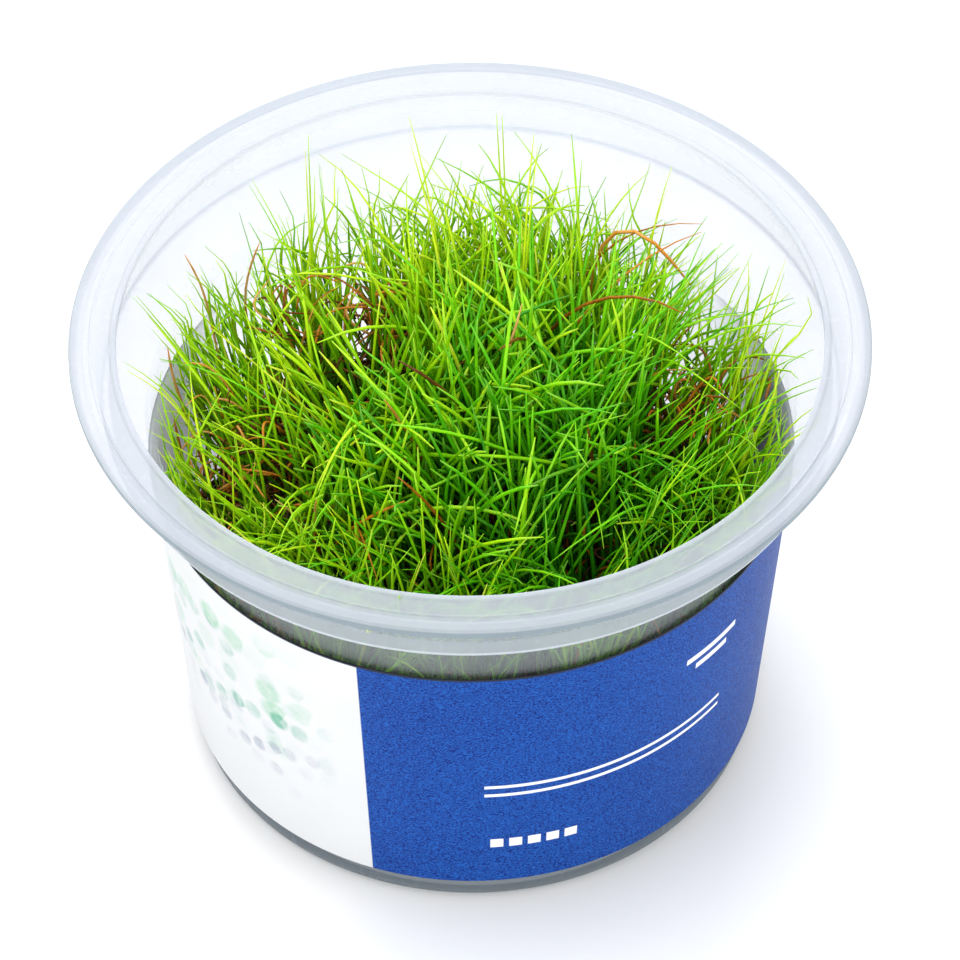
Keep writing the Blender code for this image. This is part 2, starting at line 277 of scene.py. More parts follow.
@dataclass(frozen=True)
class MilkyPlastic:
    """Clear plastic with a milky cast, more so where it is thick, with painted shade on bands of its outer face."""

    tint: Colour = (0.62, 0.65, 0.715)
    painted_shade_tint: Colour = (0.26, 0.33, 0.36)
    clear_tint: Colour = (0.938, 0.936, 0.955)
    roughness: float = 0.22
    glow: float = 0.55
    streak_depth: float = 0.012 * MM

    def make(self) -> bpy.types.Material:
        """Return the material.

        The mesh's milk number says how much of it hides what is behind, and its painted shade number how much painted
        shade darkens the colour, standing in for the dark inside seen bent through the thick plastic.
        """
        sheet = NodeSheet("milky plastic")
        milk = sheet.attribute("milk")
        cloud = sheet.noise(160.0, 2.0)
        streaks = sheet.noise(1.0, 1.0, sheet.scaled_place((900.0, 900.0, 90.0)))
        uneven = sheet.maths("ADD", sheet.maths("MULTIPLY", cloud, 0.06), sheet.maths("MULTIPLY", streaks, 0.03))
        hiding = sheet.maths("ADD", milk, sheet.maths("SUBTRACT", uneven, 0.045))
        edge = sheet.add("ShaderNodeLayerWeight", sockets={"Blend": 0.3}).outputs["Facing"]
        hiding = sheet.maths("MULTIPLY_ADD", sheet.maths("POWER", edge, 4.0), 0.35, hiding, clamp=True)
        colour = sheet.mix(sheet.spread(cloud, (0.3, 0.7)), self.tint, tuple(0.97 * c for c in self.tint))
        # Painted shade: darken the colour where the mesh asks for it, in place of the dark inside seen through the
        # plastic.
        colour = sheet.mix(sheet.attribute("dim"), colour, self.painted_shade_tint)
        shader = sheet.surface(
            Base_Color=colour,
            Roughness=sheet.spread(streaks, (0.3, 0.7), (self.roughness - 0.04, self.roughness + 0.06)),
            IOR=1.49,
            Normal=sheet.bump(streaks, self.streak_depth, 0.1),
        )
        glow = sheet.add("ShaderNodeBsdfTranslucent", sockets={"Color": colour})
        milky = sheet.add("ShaderNodeMixShader", sockets={0: self.glow, 1: shader.outputs[0], 2: glow.outputs[0]})
        clear = sheet.add("ShaderNodeBsdfTransparent", sockets={"Color": self.clear_tint})
        both = sheet.add("ShaderNodeMixShader", sockets={0: hiding, 1: clear.outputs[0], 2: milky.outputs[0]})
        return sheet.finish(both)


def turn_angle(sheet: NodeSheet) -> bpy.types.NodeSocket:
    """Return the angle round the cup: 0 at the front, and more towards +X."""
    parts = sheet.add("ShaderNodeSeparateXYZ", sockets={0: sheet.place()})
    return sheet.maths("ARCTAN2", parts.outputs[0], sheet.maths("MULTIPLY", parts.outputs[1], -1.0))


def towards_back(sheet: NodeSheet, angle: bpy.types.NodeSocket) -> bpy.types.NodeSocket:
    """Return 0 round the label's printed front and 1 round its bare back, where more light comes through."""
    return sheet.spread(sheet.maths("ABSOLUTE", angle), (math.radians(112.0), math.radians(128.0)))


@dataclass(frozen=True)
class PrintedFilm:
    """The outside of the label: a white field and a blue field with plain marks, and a painted dark shade line along
    the top edge of the printed front.
    """

    navy: Colour = (0.0, 0.014, 0.165)
    bright_blue: Colour = (0.010, 0.108, 0.47)
    white: Colour = (0.945, 0.955, 0.965)
    teal: Colour = (0.13, 0.52, 0.36)
    mint: Colour = (0.40, 0.74, 0.52)
    slate: Colour = (0.22, 0.30, 0.45)
    start_angle: float = math.radians(-20.6)
    end_angle: float = math.radians(112.0)
    weave_scale: float = 5200.0
    foot: float = 4.4 * MM
    top: float = 47.0 * MM
    radius: float = 39.6 * MM
    translucence: float = 0.36
    bare_translucence: float = 0.87
    ink_share: float = 0.25

    def height(self, sheet: NodeSheet) -> bpy.types.NodeSocket:
        """Return the height of the surface point in metres."""
        return sheet.add("ShaderNodeSeparateXYZ", sockets={0: sheet.place()}).outputs[2]

    def band(self, sheet: NodeSheet, value: bpy.types.NodeSocket, middle: float, half: float, soft: float) -> bpy.types.NodeSocket:
        """Return 1 within a distance of a middle value and 0 outside it.

        Args:
            sheet: the node sheet.
            value: the number that is tested.
            middle: the band's middle.
            half: half of the band's width.
            soft: how wide the band's soft edge is.

        Returns:
            The band's socket.
        """
        away = sheet.maths("ABSOLUTE", sheet.maths("SUBTRACT", value, middle))
        return sheet.spread(away, (half - soft / 2, half + soft / 2), (1.0, 0.0))

    def block(self, sheet: NodeSheet, angle: bpy.types.NodeSocket, height: bpy.types.NodeSocket, box: tuple[float, float, float, float]) -> bpy.types.NodeSocket:
        """Return 1 inside an upright rectangle on the label.

        Args:
            sheet: the node sheet.
            angle: the angle's socket.
            height: the height's socket.
            box: the middle angle in degrees, the middle height, the half width and the half height,
                the last three in millimetres.

        Returns:
            The rectangle's socket.
        """
        half_angle = box[2] * MM / self.radius
        soft = 0.12 * MM
        across = self.band(sheet, angle, math.radians(box[0]), half_angle, soft / self.radius)
        upright = self.band(sheet, height, box[1] * MM, box[3] * MM, soft)
        return sheet.maths("MULTIPLY", across, upright)

    def marks(self, sheet: NodeSheet, angle: bpy.types.NodeSocket, height: bpy.types.NodeSocket) -> bpy.types.NodeSocket:
        """Return the plain bars and squares printed in white on the blue field."""
        boxes = [(27.0, 24.6, 17.5, 0.28), (27.0, 22.9, 17.5, 0.28)]
        boxes += [(4.0 + 3.6 * n, 12.6, 0.85, 0.85) for n in range(5)]
        boxes += [(48.0, 37.5, 4.6, 0.5), (48.0, 35.6, 2.9, 0.5)]
        total = self.block(sheet, angle, height, boxes[0])
        for box in boxes[1:]:
            total = sheet.maths("MAXIMUM", total, self.block(sheet, angle, height, box))
        return total

    def blue_field(self, sheet: NodeSheet) -> bpy.types.NodeSocket:
        """Return the blue field's colour, with the fine speckle of its print."""
        scale = self.weave_scale
        grain = sheet.spread(sheet.noise(1.0, 1.0, sheet.scaled_place((0.7 * scale, 0.7 * scale, 1.4 * scale))), (0.38, 0.62))
        slow = sheet.spread(sheet.noise(60.0, 1.0), (0.3, 0.7), (-0.05, 0.05))
        return sheet.mix(sheet.maths("ADD", grain, slow, clamp=True), self.navy, self.bright_blue)

    def dappled_field(self, sheet: NodeSheet, angle: bpy.types.NodeSocket, height: bpy.types.NodeSocket) -> bpy.types.NodeSocket:
        """Return the white field's colour, with a loose band of soft overlapping rounds."""
        wobble = sheet.noise(90.0, 3.0)
        along = sheet.maths("MULTIPLY", angle, self.radius)
        flat = sheet.add("ShaderNodeCombineXYZ", sockets={0: along, 1: height, 2: 0.0}).outputs[0]
        colour: object = sheet.mix(sheet.spread(wobble, (0.3, 0.7)), self.white, tuple(0.97 * c for c in self.white))
        drift = sheet.maths("MULTIPLY_ADD", wobble, 0.010, sheet.maths("MULTIPLY", angle, -0.006))
        level = sheet.maths("SUBTRACT", height, drift)
        for scale, tone, middle, half, most in (
            (190.0, self.mint, 24.0, 9.0, 0.75),
            (270.0, self.teal, 20.0, 6.0, 0.80),
            (330.0, self.slate, 12.5, 4.5, 0.55),
        ):
            cells = sheet.add(
                "ShaderNodeTexVoronoi",
                {"voronoi_dimensions": "2D"},
                {"Vector": flat, "Scale": scale, "Randomness": 0.85},
            )
            rounds = sheet.spread(cells.outputs["Distance"], (0.30, 0.46), (1.0, 0.0))
            pick = sheet.add("ShaderNodeSeparateXYZ", sockets={0: cells.outputs["Color"]}).outputs[0]
            shade = sheet.spread(pick, (0.35, 1.0), (0.0, most))
            belt = self.band(sheet, level, middle * MM, half * MM, 7 * MM)
            sides = self.band(sheet, angle, math.radians(-52.0), math.radians(20.0), math.radians(12.0))
            share = sheet.maths("MULTIPLY", sheet.maths("MULTIPLY", rounds, shade), sheet.maths("MULTIPLY", belt, sides))
            share = sheet.maths("MULTIPLY", share, sheet.spread(sheet.noise(900.0, 2.0), (0.25, 0.6), (0.35, 1.0)))
            colour = sheet.mix(share, colour, tone)
        return colour

    def make(self) -> bpy.types.Material:
        """Return the material."""
        sheet = NodeSheet("printed film")
        angle, height = turn_angle(sheet), self.height(sheet)
        middle = (self.start_angle + self.end_angle) / 2
        in_blue = self.band(sheet, angle, middle, (self.end_angle - self.start_angle) / 2, 0.003)
        blue = sheet.mix(self.marks(sheet, angle, height), self.blue_field(sheet), self.white)
        colour = sheet.mix(in_blue, self.dappled_field(sheet, angle, height), blue)
        bare = towards_back(sheet, angle)
        # Painted shade: a thin near-black line along the label's top edge round the printed front, standing in for the
        # dark gap between label and wall.
        rim = sheet.spread(height, (self.top - 0.42 * MM, self.top - 0.28 * MM))
        rim = sheet.maths("MULTIPLY", rim, sheet.maths("SUBTRACT", 1.0, bare))
        colour = sheet.mix(rim, colour, (0.02, 0.025, 0.04))
        grain = sheet.noise(1400.0, 3.0)
        shader = sheet.surface(
            Base_Color=colour,
            Roughness=sheet.spread(grain, (0.3, 0.7), (0.42, 0.55)),
            IOR=1.18,
            Coat_Weight=0.12,
            Coat_Roughness=0.35,
            Coat_IOR=1.35,
            Normal=sheet.bump(grain, 0.01 * MM, 0.4),
        )
        through = sheet.add("ShaderNodeBsdfTranslucent", sockets={"Color": colour})
        share = sheet.spread(bare, (0.0, 1.0), (self.translucence, self.bare_translucence))
        share = sheet.maths("MULTIPLY", share, sheet.spread(in_blue, (0.0, 1.0), (1.0, self.ink_share)))
        both = sheet.add("ShaderNodeMixShader", sockets={0: share, 1: shader.outputs[0], 2: through.outputs[0]})
        return sheet.finish(both)


@dataclass(frozen=True)
class LabelBack:
    """The plain white back of the label, which light comes through."""

    white: Colour = (0.955, 0.96, 0.97)
    translucence: float = 0.38
    bare_translucence: float = 0.88

    def make(self) -> bpy.types.Material:
        """Return the material."""
        sheet = NodeSheet("label back")
        fibre = sheet.noise(700.0, 4.0)
        colour = sheet.mix(sheet.spread(fibre, (0.3, 0.7)), self.white, tuple(0.985 * c for c in self.white))
        shader = sheet.surface(Base_Color=colour, Roughness=0.8, Normal=sheet.bump(fibre, 0.005 * MM, 0.3))
        through = sheet.add("ShaderNodeBsdfTranslucent", sockets={"Color": colour})
        bare = towards_back(sheet, turn_angle(sheet))
        share = sheet.spread(bare, (0.0, 1.0), (self.translucence, self.bare_translucence))
        both = sheet.add("ShaderNodeMixShader", sockets={0: share, 1: shader.outputs[0], 2: through.outputs[0]})
        return sheet.finish(both)


@dataclass(frozen=True)
class CloudyGel:
    """Set growing gel: cloudy, pale grey with a green-blue cast, and wet on top."""

    pale: Colour = (0.20, 0.28, 0.36)
    dull: Colour = (0.10, 0.15, 0.20)

    def make(self) -> bpy.types.Material:
        """Return the material."""
        sheet = NodeSheet("cloudy gel")
        cloud = sheet.noise(120.0, 5.0)
        specks = sheet.noise(900.0, 2.0)
        colour = sheet.mix(sheet.spread(cloud, (0.35, 0.65)), self.pale, self.dull)
        colour = sheet.mix(sheet.spread(specks, (0.62, 0.72), (0.0, 0.4)), colour, (0.5, 0.56, 0.58))
        shader = sheet.surface(
            Base_Color=colour,
            Roughness=sheet.spread(cloud, (0.3, 0.7), (0.12, 0.24)),
            IOR=1.34,
            Alpha=0.88,
            Normal=sheet.bump(cloud, 0.3 * MM, 0.4),
        )
        return sheet.finish(shader)


@dataclass(frozen=True)
class OldRoots:
    """Matted brown roots and old stems, from near black to orange-brown."""

    def make(self) -> bpy.types.Material:
        """Return the material: the mesh's own tone number picks each fibre's brown."""
        sheet = NodeSheet("old roots")
        tone = sheet.attribute("tone")
        grain = sheet.noise(700.0, 4.0)
        picked = sheet.maths("MULTIPLY_ADD", sheet.maths("SUBTRACT", grain, 0.5), 0.5, tone, clamp=True)
        colour = sheet.ramp(
            picked,
            (
                (0.0, (0.016, 0.007, 0.002)),
                (0.30, (0.08, 0.024, 0.005)),
                (0.58, (0.24, 0.070, 0.011)),
                (0.82, (0.48, 0.15, 0.025)),
                (1.0, (0.62, 0.40, 0.15)),
            ),
        )
        shader = sheet.surface(
            Base_Color=colour,
            Roughness=sheet.spread(grain, (0.3, 0.7), (0.45, 0.8)),
            Normal=sheet.bump(grain, 0.15 * MM, 0.7),
        )
        return sheet.finish(shader)


@dataclass(frozen=True)
class GrassSkin:
    """The skin of the blades: each blade's tone picks its green, its age can turn it brown, and painted shade turns
    the parts deep in the grass a darker green.
    """

    name: str
    greens: tuple[tuple[float, Colour], ...]
    browns: tuple[tuple[float, Colour], ...] = (
        (0.0, (0.04, 0.016, 0.002)),
        (0.35, (0.20, 0.062, 0.004)),
        (0.7, (0.56, 0.20, 0.012)),
        (1.0, (0.66, 0.42, 0.15)),
    )

    def make(self) -> bpy.types.Material:
        """Return the material."""
        sheet = NodeSheet(self.name)
        tone, along, age = (sheet.attribute(name) for name in ("tone", "along", "age"))
        mottle = sheet.noise(420.0, 1.0)
        fine = sheet.noise(1.0, 0.0, sheet.scaled_place((3200.0, 3200.0, 260.0)))
        picked = sheet.maths("MULTIPLY_ADD", sheet.maths("SUBTRACT", mottle, 0.5), 0.35, tone)
        picked = sheet.maths("MULTIPLY_ADD", sheet.maths("SUBTRACT", fine, 0.5), 0.22, picked)
        # Painted shade: the depth number turns blades deep in the grass a darker, deeper green.
        depth = sheet.attribute("depth")
        picked = sheet.maths("MULTIPLY_ADD", depth, -0.36, picked, clamp=True)
        green = sheet.ramp(picked, self.greens)
        green = sheet.mix(sheet.maths("MULTIPLY", depth, 0.40), green, (0.004, 0.055, 0.0))
        sheath = sheet.spread(along, (0.03, 0.16), (1.0, 0.0))
        green = sheet.mix(sheath, green, (0.24, 0.21, 0.05))
        dull = sheet.maths("MULTIPLY", sheet.spread(along, (0.88, 1.0)), sheet.spread(mottle, (0.40, 0.6), (0.0, 0.4)))
        green = sheet.mix(dull, green, (0.22, 0.30, 0.07))
        brown = sheet.ramp(picked, self.browns)
        turning = sheet.maths("MULTIPLY_ADD", sheet.maths("SUBTRACT", mottle, 0.5), 0.5, age)
        colour = sheet.mix(sheet.spread(turning, (0.40, 0.62)), green, brown)
        shader = sheet.surface(
            Base_Color=colour,
            Roughness=sheet.spread(fine, (0.3, 0.7), (0.32, 0.5)),
            IOR=1.29,
            Normal=sheet.bump(fine, 0.04 * MM, 0.5),
        )
        return sheet.finish(shader)


FRESH_GREENS = (
    (0.0, (0.065, 0.27, 0.001)),
    (0.35, (0.19, 0.53, 0.002)),
    (0.65, (0.39, 0.68, 0.004)),
    (0.88, (0.57, 0.77, 0.012)),
    (1.0, (0.74, 0.80, 0.07)),
)
DEEP_GREENS = (
    (0.0, (0.020, 0.20, 0.001)),
    (0.4, (0.085, 0.44, 0.002)),
    (0.7, (0.22, 0.62, 0.003)),
    (1.0, (0.46, 0.76, 0.014)),
)


class Grass(Enum):
    """The two greens that the tufts come in."""

    FRESH = ("grass_bright", FRESH_GREENS)
    DEEP = ("grass_deep", DEEP_GREENS)

    @property
    def slot(self) -> str:
        """Return the record's material slot."""
        return self.value[0]

    def skin(self) -> GrassSkin:
        """Return the finish of the blades."""
        return GrassSkin(f"{self.slot} blades", self.value[1])


# Meshes


def add_piece(name: str, mesh: bpy.types.Mesh, materials: list[bpy.types.Material], nodes: list[str]) -> bpy.types.Object:
    """Put a mesh in the scene as one piece of the part.

    Args:
        name: the piece's name.
        mesh: its mesh.
        materials: its materials in slot order.
        nodes: the solids that it stands for.

    Returns:
        The new object.
    """
    for material in materials:
        mesh.materials.append(material)
    piece = bpy.data.objects.new(name, mesh)
    bpy.context.scene.collection.objects.link(piece)
    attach(piece, BODY)
    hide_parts(*nodes)
    LOG.info("%s: %d faces", name, len(mesh.polygons))
    return piece


def set_numbers(mesh: bpy.types.Mesh, name: str, values: np.ndarray) -> None:
    """Store one number for each point of a mesh.

    Args:
        mesh: the mesh.
        name: the attribute's name.
        values: the numbers, one per point.
    """
    attribute = mesh.attributes.new(name, "FLOAT", "POINT")
    attribute.data.foreach_set("value", np.asarray(values, dtype=np.float32))


def rounded(outline: list[Corner], radii: list[float], steps: int = 4) -> list[Corner]:
    """Round the corners of an outline.

    Args:
        outline: the outline's corners.
        radii: the rounding of each corner, 0 for a sharp one.
        steps: how many pieces each rounded corner is cut into.

    Returns:
        The points of the rounded outline.
    """
    points = [outline[0]]
    for before, corner, after, radius in zip(outline, outline[1:], outline[2:], radii[1:]):
        here = Vector(corner)
        to_before, to_after = Vector(before) - here, Vector(after) - here
        cut = min(radius, to_before.length * 0.45, to_after.length * 0.45)
        if cut <= 0.0:
            points.append(corner)
            continue
        start = here + to_before.normalized() * cut
        end = here + to_after.normalized() * cut
        for n in range(steps + 1):
            share = n / steps
            point = start * (1 - share) ** 2 + here * 2 * share * (1 - share) + end * share**2
            points.append((point.x, point.y))
    points.append(outline[-1])
    return points


def lathe(outline: np.ndarray, sides: int) -> bpy.types.Mesh:
    """Turn an outline that starts and ends on the axis into a round mesh.

    Args:
        outline: rows of radius and height.
        sides: how many steps the turn has.

    Returns:
        The mesh. Its points run ring by ring, and the two on the axis come last.
    """
    rings = outline[1:-1]
    angles = np.linspace(0.0, 2 * math.pi, sides, endpoint=False)
    x = rings[:, :1] * np.cos(angles)
    y = rings[:, :1] * np.sin(angles)
    z = np.repeat(rings[:, 1:2], sides, axis=1)
    points = np.stack([x, y, z], axis=2).reshape(-1, 3)
    ends = np.array([[0.0, 0.0, outline[0, 1]], [0.0, 0.0, outline[-1, 1]]])
    faces = []
    for ring in range(len(rings) - 1):
        for side in range(sides):
            beside = (side + 1) % sides
            low, high = ring * sides, (ring + 1) * sides
            faces.append((low + side, low + beside, high + beside, high + side))
    first, last = len(points), len(points) + 1
    top = (len(rings) - 1) * sides
    for side in range(sides):
        beside = (side + 1) % sides
        faces.append((first, beside, side))
        faces.append((last, top + side, top + beside))
    mesh = bpy.data.meshes.new("lathe")
    mesh.from_pydata(np.vstack([points, ends]).tolist(), [], faces)
    mesh.shade_smooth()
    mesh.set_sharp_from_angle(angle=math.radians(50))
    return mesh


@dataclass
class StrandBundle:
    """Many thin tubes that are made into one mesh."""

    sides: int = 5
    paths: list[np.ndarray] = field(default_factory=list)
    radii: list[np.ndarray] = field(default_factory=list)
    tones: list[float] = field(default_factory=list)
    ages: list[float] = field(default_factory=list)

    def add(self, path: np.ndarray, radii: np.ndarray, tone: float, age: float = 0.0) -> None:
        """Add one strand.

        Args:
            path: rows of x, y and z from root to tip, as many as every other strand has.
            radii: the radius at each row.
            tone: where its colour lies, from 0 to 1.
            age: 0 for a living blade and 1 for a dead one.
        """
        self.paths.append(path)
        self.radii.append(radii)
        self.tones.append(tone)
        self.ages.append(age)

    def rings(self) -> np.ndarray:
        """Return the corners of every strand's sections, by strand, section and side."""
        paths = np.stack(self.paths)
        radii = np.stack(self.radii)
        along = np.gradient(paths, axis=1)
        along /= np.linalg.norm(along, axis=2, keepdims=True) + 1e-12
        chord = paths[:, -1] - paths[:, 0]
        level = np.stack([-chord[:, 1], chord[:, 0], np.zeros(len(chord))], axis=1)
        level += np.array([1e-6, 2e-6, 0.0])
        across = np.repeat(level[:, None, :], paths.shape[1], axis=1)
        across -= along * np.sum(across * along, axis=2, keepdims=True)
        across /= np.linalg.norm(across, axis=2, keepdims=True) + 1e-12
        beside = np.cross(along, across)
        angles = np.linspace(0.0, 2 * math.pi, self.sides, endpoint=False)
        turn = np.cos(angles)[:, None] * across[:, :, None, :] + np.sin(angles)[:, None] * beside[:, :, None, :]
        return paths[:, :, None, :] + turn * radii[:, :, None, None]

    def mesh(self, name: str) -> bpy.types.Mesh:
        """Return all strands as one mesh with their tone, age and place along the strand.

        Args:
            name: the mesh's name.

        Returns:
            The mesh.
        """
        corners = self.rings()
        strands, sections, sides = corners.shape[:3]
        index = np.arange(strands * sections * sides).reshape(strands, sections, sides)
        low, high = index[:, :-1], index[:, 1:]
        quads = np.stack([low, np.roll(low, -1, axis=2), np.roll(high, -1, axis=2), high], axis=3)
        faces = quads.reshape(-1, 4).tolist()
        faces += index[:, 0, ::-1].tolist() + index[:, -1].tolist()
        mesh = bpy.data.meshes.new(name)
        mesh.from_pydata(corners.reshape(-1, 3).tolist(), [], faces)
        mesh.shade_smooth()
        per_strand = sections * sides
        set_numbers(mesh, "tone", np.repeat(self.tones, per_strand))
        set_numbers(mesh, "age", np.repeat(self.ages, per_strand))
        shares = np.repeat(np.linspace(0.0, 1.0, sections), sides)
        set_numbers(mesh, "along", np.tile(shares, strands))
        return mesh


# Sub-assemblies


@dataclass
class GrowingCup:
    """The moulded cup with its stepped shoulder, skirt and wide flange."""

    height: float = 66.0
    flange: float = 50.0
    mouth: float = 44.05
    foot_radius: float = 36.8
    body_top: float = 41.0
    wall: float = 0.9
    lip: float = 1.3
    sides: int = 180

    def outline(self) -> list[tuple[float, float, float, float]]:
        """Return radius, height, rounding and milk of each corner, from the foot up and back down inside."""
        h, flange, mouth, wall = self.height, self.flange, self.mouth, self.wall
        return [
            (0.0, 0.7, 0.0, 0.40),
            (32.1, 0.7, 0.3, 0.45),
            (32.8, 0.0, 0.3, 0.50),
            (35.2, 0.0, 0.6, 0.50),
            (36.4, 0.45, 0.6, 0.50),
            (self.foot_radius, 1.6, 0.6, 0.60),
            (37.05, 4.2, 0.5, 0.55),
            (37.2, 6.0, 0.2, 0.10),
            (40.42, 47.0, 0.2, 0.10),
            (40.5, 48.0, 0.2, 0.30),
            (self.body_top - 0.1, h - 13.0, 0.8, 0.30),
            (self.body_top - 0.02, h - 12.2, 0.2, 0.30),
            (self.body_top + 0.05, h - 11.9, 0.2, 0.34),
            (self.body_top + 0.5, h - 11.45, 0.2, 0.36),
            (45.95, h - 8.75, 0.15, 0.50),
            (46.2, h - 8.5, 0.15, 0.90),
            (46.33, h - 8.1, 0.15, 0.88),
            (46.35, h - 7.85, 0.1, 0.44),
            (46.75, h - 3.2, 0.5, 0.34),
            (46.9, h - 0.9, 0.3, 0.24),
            (49.1, h - 0.9, 0.2, 0.22),
            (49.15, h - self.lip, 0.2, 0.55),
            (flange, h - self.lip, 0.2, 0.72),
            (flange, h - 0.35, 0.3, 0.72),
            (flange - 0.2, h - 0.1, 0.3, 0.62),
            (flange - 0.35, h, 0.2, 0.72),
            (flange - 1.5, h, 0.3, 0.72),
            (flange - 1.9, h - 0.3, 0.2, 0.62),
            (47.55, h - 0.3, 0.1, 0.60),
            (47.42, h - 0.12, 0.1, 0.66),
            (47.22, h - 0.12, 0.1, 0.66),
            (47.1, h - 0.3, 0.1, 0.60),
            (mouth + 0.95, h - 0.3, 0.2, 0.60),
            (mouth + 0.7, h, 0.25, 0.74),
            (mouth + 0.05, h, 0.2, 0.74),
            (mouth, h - 0.9, 0.3, 0.30),
            (45.0, h - 3.5, 0.5, 0.18),
            (46.3 - wall, h - 7.9, 0.5, 0.20),
            (self.body_top - wall, h - 11.35, 0.5, 0.28),
            (self.body_top - wall - 0.15, h - 13.0, 0.5, 0.24),
            (39.6, 48.0, 0.2, 0.22),
            (39.52, 47.0, 0.2, 0.08),
            (36.3, 6.0, 0.2, 0.08),
            (36.15, 4.2, 0.2, 0.3),
            (35.9, 2.4, 0.6, 0.3),
            (35.1, 1.6, 0.6, 0.3),
            (0.0, 1.6, 0.0, 0.3),
        ]

    def painted_shade_heights(self) -> tuple[tuple[float, float], ...]:
        """Return how much painted shade darkens the outer face at each height, as pairs of height and share."""
        h = self.height
        return (
            (0.0, 0.85),
            (4.2, 0.75),
            (6.0, 0.0),
            (h - 11.4, 0.0),
            (h - 8.0, 0.0),
            (h - 7.8, 0.42),
            (h - 3.0, 0.42),
            (h - self.lip, 0.80),
            (h - 0.45, 0.85),
            (h - 0.25, 0.0),
        )

    def build(self) -> bpy.types.Object:
        """Build and dress the cup."""
        corners = self.outline()
        points = rounded([(r, z) for r, z, _, _ in corners], [radius for _, _, radius, _ in corners])
        outline = np.array(points) * MM
        milk = self.read_along(np.array(points), np.array(corners))
        mesh = lathe(outline, self.sides)
        outer = np.arange(len(outline)) < np.argmax(outline[:, 1])
        # Painted shade on the outer face only: the foot, the collar and the lip get a darker colour.
        heights, shares = zip(*self.painted_shade_heights())
        dim = np.interp(outline[:, 1] / MM, heights, shares) * outer
        for name, numbers in (("milk", milk), ("dim", dim)):
            values = np.concatenate([np.repeat(numbers[1:-1], self.sides), numbers[:1], numbers[-1:]])
            set_numbers(mesh, name, values)
        return add_piece("growing_cup", mesh, [MilkyPlastic().make()], ["cup"])

    @staticmethod
    def read_along(points: np.ndarray, corners: np.ndarray) -> np.ndarray:
        """Return the milk at points of the rounded outline, read from the nearest spot between its corners.

        Args:
            points: rows of radius and height.
            corners: rows of radius, height, rounding and milk.

        Returns:
            One number for each point.
        """
        start, run = corners[:-1, :2], np.diff(corners[:, :2], axis=0)
        ahead = points[:, None, :] - start
        shares = np.clip(np.sum(ahead * run, axis=2) / np.sum(run * run, axis=1), 0.0, 1.0)
        gaps = np.linalg.norm(ahead - shares[:, :, None] * run, axis=2)
        nearest = np.argmin(gaps, axis=1)
        share = shares[np.arange(len(points)), nearest]
        return corners[nearest, 3] * (1 - share) + corners[nearest + 1, 3] * share


@dataclass
class WrapLabel:
    """The printed sheet round the wall, with a narrow gap between its ends at the back."""

    foot: float = 4.4 * MM
    top: float = 47.0 * MM
    foot_radius: float = 37.38 * MM
    top_radius: float = 40.78 * MM
    thickness: float = 0.16 * MM
    seam: float = math.radians(9.0)
    columns: int = 200
    rows: int = 12

    def build(self) -> bpy.types.Object:
        """Build the sheet: the print outside and over the top edge, where it carries a painted shade line, and the
        white back inside and along the other edges.
        """
        angles = np.linspace(self.seam / 2, 2 * math.pi - self.seam / 2, self.columns + 1) + math.pi / 2
        shares = np.linspace(0.0, 1.0, self.rows + 1)
        points = []
        for thickness in (self.thickness, 0.0):
            radius = self.foot_radius + (self.top_radius - self.foot_radius) * shares + thickness
            height = self.foot + (self.top - self.foot) * shares
            x = radius[:, None] * np.cos(angles)
            y = radius[:, None] * np.sin(angles)
            z = np.repeat(height[:, None], len(angles), axis=1)
            points.append(np.stack([x, y, z], axis=2).reshape(-1, 3))
        width, count = len(angles), len(points[0])
        outside, inside, edges = [], [], []
        for row in range(self.rows):
            for column in range(self.columns):
                a = row * width + column
                outside.append((a, a + 1, a + width + 1, a + width))
                inside.append(tuple(count + n for n in (a, a + width, a + width + 1, a + 1)))
        top = self.rows * width
        for column in range(self.columns):
            edges.append((column + 1, column, count + column, count + column + 1))
            # The top edge faces take the print, so the painted dark shade line at the top edge wraps over them.
            outside.append((top + column, top + column + 1, count + top + column + 1, count + top + column))
        for row in range(self.rows):
            for column, flip in ((0, False), (self.columns, True)):
                a, b = row * width + column, (row + 1) * width + column
                face = (a, b, count + b, count + a)
                edges.append(face[::-1] if flip else face)
        mesh = bpy.data.meshes.new("label_sheet")
        mesh.from_pydata(np.vstack(points).tolist(), [], outside + inside + edges)
        mesh.shade_smooth()
        mesh.set_sharp_from_angle(angle=math.radians(50))
        backs = np.zeros(len(mesh.polygons), dtype=np.int32)
        backs[len(outside) :] = 1
        mesh.polygons.foreach_set("material_index", backs)
        materials = [PrintedFilm().make(), LabelBack().make()]
        return add_piece("label_sheet", mesh, materials, ["label"])


@dataclass
class GelLayer:
    """The growing gel, with a low rim where it climbs the wall."""

    sides: int = 120

    def build(self) -> bpy.types.Object:
        """Build and dress the gel."""
        low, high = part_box("gel")
        reach, top, bottom = high.x, high.z, low.z
        foot = reach - (top - bottom) * 4.2 / 52.6
        rows = [(0.0, bottom), (foot - 0.8 * MM, bottom), (foot, bottom + 0.8 * MM), (reach, top)]
        for share in np.linspace(0.0, 1.0, 5):
            rows.append((reach - 0.1 * MM - 3.0 * MM * share, top + 0.15 * MM - 0.75 * MM * (1 - (1 - share) ** 2)))
        rows.append((0.0, top - 0.5 * MM))
        mesh = lathe(np.array(rows), self.sides)
        return add_piece("gel_layer", mesh, [CloudyGel().make()], ["gel"])


